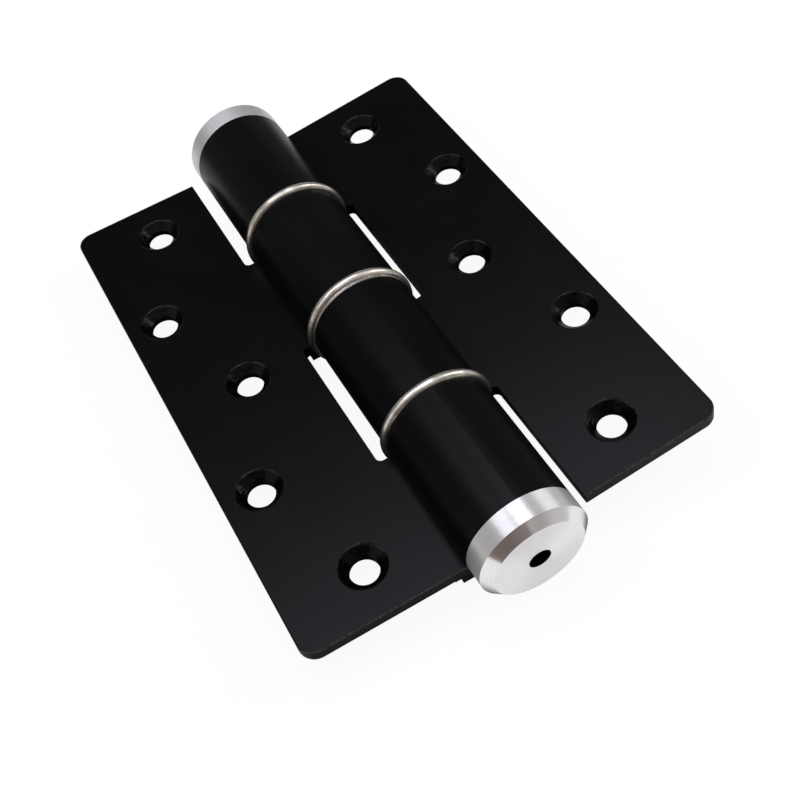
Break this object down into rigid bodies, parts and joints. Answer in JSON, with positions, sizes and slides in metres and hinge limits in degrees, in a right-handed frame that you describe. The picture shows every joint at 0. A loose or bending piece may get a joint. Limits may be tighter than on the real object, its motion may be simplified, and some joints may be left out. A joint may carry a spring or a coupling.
{
  "type": "self-closing door hinge",
  "caption": "Self-closing door hinge with two countersunk leaves, interleaved knuckles with steel rings, a closing spring and an oil damper with a speed valve in the barrel.",
  "frame": {"origin": "on the pin line at half the leaf length", "axes": "+X to the right leaf, +Y along the pin line to the plain cap, +Z out of the countersunk face of the left leaf"},
  "size_m": [0.0903, 0.139, 0.025],
  "materials": {
    "black_coat": "satin black coat on steel",
    "stainless_ring": "polished",
    "turned_cap": "turned bright",
    "machined_steel": "ground",
    "spring_steel": "oiled",
    "bronze_bush": "sintered",
    "seal_rubber": "moulded"
  },
  "bodies": {
    "frame_leaf": {"leaf_left": "black_coat", "cap_valve": "turned_cap", "ring_far": "stainless_ring", "ring_mid": "stainless_ring", "ring_near": "stainless_ring", "shim_mid": "stainless_ring", "damper_cylinder": "machined_steel", "cylinder_plug": "machined_steel", "plug_seal": "seal_rubber", "shaft_seal": "seal_rubber", "centre_pivot": "machined_steel", "spring_tube": "machined_steel", "closing_spring": "spring_steel"},
    "door_leaf": {"leaf_right": "black_coat", "cap_plain": "turned_cap", "spring_anchor": "machined_steel", "bush_far": "bronze_bush", "bush_mid": "bronze_bush", "bush_near": "bronze_bush", "cam_shaft": "machined_steel"},
    "damper_piston": {"piston": "machined_steel", "follower_pin_a": "machined_steel", "follower_pin_b": "machined_steel", "piston_seal": "seal_rubber", "check_ball": "machined_steel", "check_clip": "machined_steel"},
    "valve_screw": {"speed_valve": "machined_steel", "valve_seal": "seal_rubber"}
  },
  "joints": [
    {"name": "leaf_turn", "type": "hinge", "parent": "frame_leaf", "child": "door_leaf", "pos_m": [0, 0, 0], "axis": [0, -1, 0], "range_deg": [-5.5, 174.5], "deforming": ["closing_spring"]},
    {"name": "piston_slide", "type": "slide", "parent": "frame_leaf", "child": "damper_piston", "axis": [0, -1, 0], "range_m": [-0.00025, 0.0069]},
    {"name": "valve_turn", "type": "hinge", "parent": "frame_leaf", "child": "valve_screw", "pos_m": [0, -0.057, 0], "axis": [0, 1, 0], "range_deg": [-180, 180]}
  ],
  "couplings": [
    {"joint": "piston_slide", "follows": "leaf_turn", "m_per_rad": 0.0022282}
  ]
}
